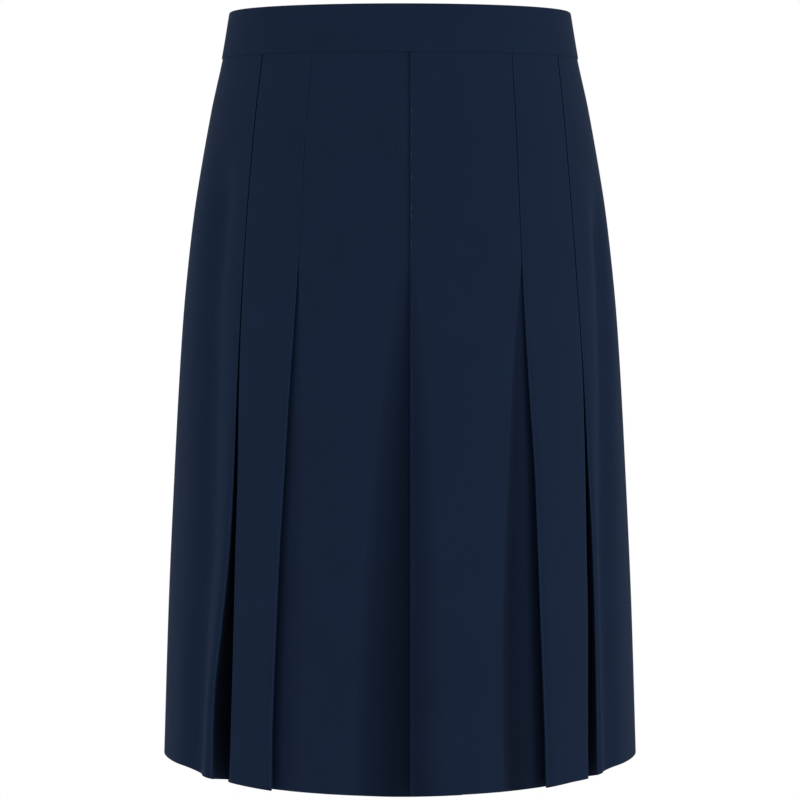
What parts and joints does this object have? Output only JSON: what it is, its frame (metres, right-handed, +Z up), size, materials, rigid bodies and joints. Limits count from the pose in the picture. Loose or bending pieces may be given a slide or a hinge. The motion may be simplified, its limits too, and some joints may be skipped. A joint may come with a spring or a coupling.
{
  "type": "pleated midi skirt",
  "caption": "Filled-out A-line midi skirt of plain navy cloth with a straight waistband, stitched-down pleats that open towards the hem, and a concealed zip at the centre back.",
  "frame": {"origin": "middle of the waist, halfway up the waistband, where the wearer's waist holds the skirt", "axes": "+Z up, the front faces -Y, +X is the wearer's left"},
  "size_m": [0.417, 0.3124, 0.65],
  "materials": {
    "cloth": "matt navy suiting, fine plain weave with a slight sheen",
    "band": "the same navy cloth, faced and pressed flat",
    "zip_tape": "navy woven zip tape",
    "zip_metal": "navy enamel, satin"
  },
  "bodies": {
    "skirt": {"waistband_front": "band", "waistband_back_left": "band", "waistband_back_right": "band", "front_centre_left": "cloth", "front_centre_right": "cloth", "front_mid_left": "cloth", "front_mid_right": "cloth", "front_side_left": "cloth", "front_side_right": "cloth", "front_inset_left": "cloth", "front_inset_right": "cloth", "back_centre_left": "cloth", "back_centre_right": "cloth", "back_mid_left": "cloth", "back_mid_right": "cloth", "back_side_left": "cloth", "back_side_right": "cloth", "back_inset_left": "cloth", "back_inset_right": "cloth", "zip_tape_left": "zip_tape", "zip_tape_right": "zip_tape", "zip_slider": "zip_metal"},
    "zip_pull": {"zip_pull": "zip_metal"}
  },
  "joints": [
    {"name": "zip_pull_swing", "type": "hinge", "parent": "skirt", "child": "zip_pull", "pos_m": [0, 0.10711, 0.00909], "axis": [1, 0, 0], "range_deg": [0, 170]}
  ]
}
